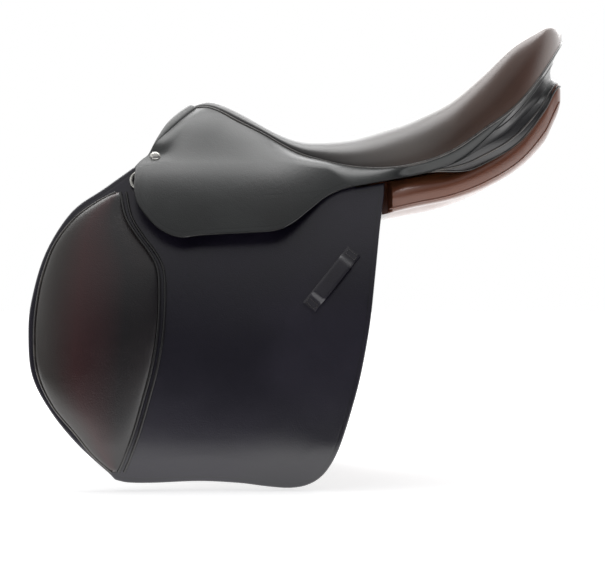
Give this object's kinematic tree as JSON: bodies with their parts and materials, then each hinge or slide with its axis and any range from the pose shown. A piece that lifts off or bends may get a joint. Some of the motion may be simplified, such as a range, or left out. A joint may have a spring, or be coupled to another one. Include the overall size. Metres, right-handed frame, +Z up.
{
  "type": "jumping saddle",
  "caption": "English jumping saddle: dished seat on a wooden tree, forward-cut flaps and skirts that lift, padded knee inserts, stirrup bars with catches, girth straps and dees.",
  "frame": {"origin": "on the saddle's plane of symmetry, at the height where the panels bear, under the front of the deepest part of the seat", "axes": "+X from the pommel to the cantle, +Y to the off (right) side, +Z up"},
  "size_m": [0.5343, 0.3924, 0.4591],
  "materials": {
    "black_leather": "black, smooth and polished by use",
    "brown_leather": "reddish brown, soft",
    "seat_leather": "taupe brown, worn smooth",
    "beech": "laminated beech, raw",
    "foam": "moulded latex foam",
    "canvas": "strained linen canvas",
    "webbing": "woven girth web",
    "steel": "forged, lightly brushed",
    "bright_steel": "polished stainless"
  },
  "bodies": {
    "core": {"tree_head": "beech", "gullet_plate": "steel", "pommel_facing": "black_leather", "tree_rail_left": "beech", "tree_rail_right": "beech", "seat_canvas": "canvas", "seat_foam": "foam", "seat_cover": "seat_leather", "gullet_lining": "brown_leather", "cantle_facing": "black_leather", "skirt_band_left": "black_leather", "skirt_band_right": "black_leather", "panel_left": "brown_leather", "panel_right": "brown_leather", "sweat_flap_left": "black_leather", "sweat_flap_right": "black_leather", "knee_roll_left": "brown_leather", "knee_roll_right": "brown_leather", "stirrup_bar_left": "steel", "stirrup_bar_right": "steel", "bar_rivets_left": "steel", "bar_rivets_right": "steel", "catch_pin_left": "steel", "catch_pin_right": "steel", "girth_web_left": "webbing", "girth_web_right": "webbing", "buckle_guard_left": "black_leather", "buckle_guard_right": "black_leather", "saddle_nail_left": "bright_steel", "saddle_nail_right": "bright_steel"},
    "flap_left": {"flap_left": "black_leather", "knee_pad_left": "brown_leather", "leather_keeper_left": "black_leather", "dee_chape_left": "bright_steel"},
    "skirt_left": {"skirt_left": "black_leather"},
    "dee_left": {"dee_ring_left": "bright_steel"},
    "catch_left": {"bar_catch_left": "steel"},
    "strap_left_1": {"girth_strap_left_1": "black_leather"},
    "strap_left_2": {"girth_strap_left_2": "black_leather"},
    "strap_left_3": {"girth_strap_left_3": "black_leather"},
    "flap_right": {"flap_right": "black_leather", "knee_pad_right": "brown_leather", "leather_keeper_right": "black_leather", "dee_chape_right": "bright_steel"},
    "skirt_right": {"skirt_right": "black_leather"},
    "dee_right": {"dee_ring_right": "bright_steel"},
    "catch_right": {"bar_catch_right": "steel"},
    "strap_right_1": {"girth_strap_right_1": "black_leather"},
    "strap_right_2": {"girth_strap_right_2": "black_leather"},
    "strap_right_3": {"girth_strap_right_3": "black_leather"}
  },
  "joints": [
    {"name": "flap_left_lift", "type": "hinge", "parent": "core", "child": "flap_left", "pos_m": [-0.08, -0.104, 0.048], "axis": [-1, 0, 0], "range_deg": [0, 70]},
    {"name": "skirt_left_lift", "type": "hinge", "parent": "flap_left", "child": "skirt_left", "pos_m": [-0.08, -0.104, 0.048], "axis": [-1, 0, 0], "range_deg": [0, 42]},
    {"name": "dee_left_swing", "type": "hinge", "parent": "flap_left", "child": "dee_left", "pos_m": [-0.17816, -0.11876, 0.0316], "axis": [0, 0.4432, 0.8964], "range_deg": [0, 25]},
    {"name": "catch_left_flip", "type": "hinge", "parent": "core", "child": "catch_left", "pos_m": [-0.063, -0.12857, 0.01021], "axis": [0, -0.9103, 0.4139], "range_deg": [0, 70]},
    {"name": "strap_left_1_swing", "type": "hinge", "parent": "core", "child": "strap_left_1", "pos_m": [-0.098, -0.13252, -0.03505], "axis": [0, -0.9336, 0.3583], "range_deg": [-8, 8]},
    {"name": "strap_left_2_swing", "type": "hinge", "parent": "core", "child": "strap_left_2", "pos_m": [-0.05, -0.12636, -0.03741], "axis": [0, -0.9336, 0.3583], "range_deg": [-8, 8]},
    {"name": "strap_left_3_swing", "type": "hinge", "parent": "core", "child": "strap_left_3", "pos_m": [-0.002, -0.13252, -0.03505], "axis": [0, -0.9336, 0.3583], "range_deg": [-8, 8]},
    {"name": "flap_right_lift", "type": "hinge", "parent": "core", "child": "flap_right", "pos_m": [-0.08, 0.104, 0.048], "axis": [1, 0, 0], "range_deg": [0, 70]},
    {"name": "skirt_right_lift", "type": "hinge", "parent": "flap_right", "child": "skirt_right", "pos_m": [-0.08, 0.104, 0.048], "axis": [1, 0, 0], "range_deg": [0, 42]},
    {"name": "dee_right_swing", "type": "hinge", "parent": "flap_right", "child": "dee_right", "pos_m": [-0.17816, 0.11876, 0.0316], "axis": [0, 0.4432, -0.8964], "range_deg": [0, 25]},
    {"name": "catch_right_flip", "type": "hinge", "parent": "core", "child": "catch_right", "pos_m": [-0.063, 0.12857, 0.01021], "axis": [0, -0.9103, -0.4139], "range_deg": [0, 70]},
    {"name": "strap_right_1_swing", "type": "hinge", "parent": "core", "child": "strap_right_1", "pos_m": [-0.098, 0.13252, -0.03505], "axis": [0, 0.9336, 0.3583], "range_deg": [-8, 8]},
    {"name": "strap_right_2_swing", "type": "hinge", "parent": "core", "child": "strap_right_2", "pos_m": [-0.05, 0.12636, -0.03741], "axis": [0, 0.9336, 0.3583], "range_deg": [-8, 8]},
    {"name": "strap_right_3_swing", "type": "hinge", "parent": "core", "child": "strap_right_3", "pos_m": [-0.002, 0.13252, -0.03505], "axis": [0, 0.9336, 0.3583], "range_deg": [-8, 8]}
  ]
}
